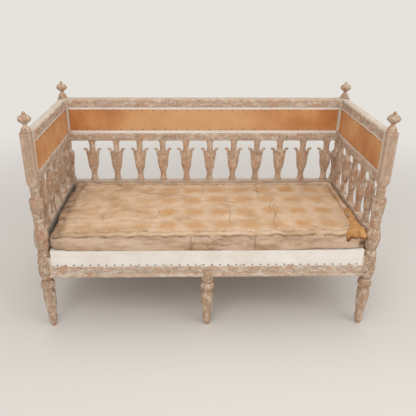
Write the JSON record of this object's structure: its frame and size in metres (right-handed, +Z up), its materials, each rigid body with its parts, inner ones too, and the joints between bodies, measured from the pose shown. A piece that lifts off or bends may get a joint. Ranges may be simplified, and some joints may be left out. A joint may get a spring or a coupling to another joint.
{
  "type": "settee",
  "caption": "Open-sided wooden settee with turned posts, finials, tulip balusters, tacked canvas panels and a loose squab cushion on a calico-covered seat.",
  "frame": {"origin": "on the floor below the middle of the settee", "axes": "+Z up, +X along the seat to the right seen from the front, the sitter faces -Y"},
  "size_m": [1.475, 0.679, 0.991],
  "materials": {
    "scraped_wood": "old paint scraped back to dry bare wood",
    "bare_pine": "sawn, unpainted",
    "calico": "plain unbleached cotton",
    "canvas": "plain woven linen canvas",
    "sacking": "old stained linen sacking",
    "pad_hessian": "hessian over hair stuffing",
    "jute_webbing": "woven jute",
    "tack_iron": "blued iron"
  },
  "bodies": {
    "frame": {"back_baluster_01": "scraped_wood", "back_baluster_02": "scraped_wood", "back_baluster_03": "scraped_wood", "back_baluster_04": "scraped_wood", "back_baluster_05": "scraped_wood", "back_baluster_06": "scraped_wood", "back_baluster_07": "scraped_wood", "back_baluster_08": "scraped_wood", "back_baluster_09": "scraped_wood", "back_baluster_10": "scraped_wood", "back_baluster_11": "scraped_wood", "back_canvas": "canvas", "back_centre_leg": "scraped_wood", "back_left_finial": "scraped_wood", "back_left_post": "scraped_wood", "back_lining": "calico", "back_lower_rail": "scraped_wood", "back_middle_rail": "scraped_wood", "back_right_finial": "scraped_wood", "back_right_post": "scraped_wood", "back_seat_rail": "scraped_wood", "corner_blocks": "bare_pine", "crest_rail": "scraped_wood", "front_centre_leg": "scraped_wood", "front_left_finial": "scraped_wood", "front_left_post": "scraped_wood", "front_right_finial": "scraped_wood", "front_right_post": "scraped_wood", "front_seat_rail": "scraped_wood", "left_arm_rail": "scraped_wood", "left_baluster_01": "scraped_wood", "left_baluster_02": "scraped_wood", "left_baluster_03": "scraped_wood", "left_baluster_04": "scraped_wood", "left_baluster_05": "scraped_wood", "left_canvas": "canvas", "left_lining": "calico", "left_lower_rail": "scraped_wood", "left_middle_rail": "scraped_wood", "left_seat_rail": "scraped_wood", "panel_tacks": "tack_iron", "right_arm_rail": "scraped_wood", "right_baluster_01": "scraped_wood", "right_baluster_02": "scraped_wood", "right_baluster_03": "scraped_wood", "right_baluster_04": "scraped_wood", "right_baluster_05": "scraped_wood", "right_canvas": "canvas", "right_lining": "calico", "right_lower_rail": "scraped_wood", "right_middle_rail": "scraped_wood", "right_seat_rail": "scraped_wood", "seat_cover": "calico", "seat_cross_rail": "bare_pine", "seat_pad": "pad_hessian", "seat_tacks": "tack_iron", "webbing_crosswise": "jute_webbing", "webbing_lengthwise": "jute_webbing"},
    "cushion": {"cushion": "sacking"}
  },
  "joints": [
    {"name": "cushion_lift", "type": "slide", "parent": "frame", "child": "cushion", "axis": [0, 0, 1], "range_m": [0, 0.6]}
  ]
}
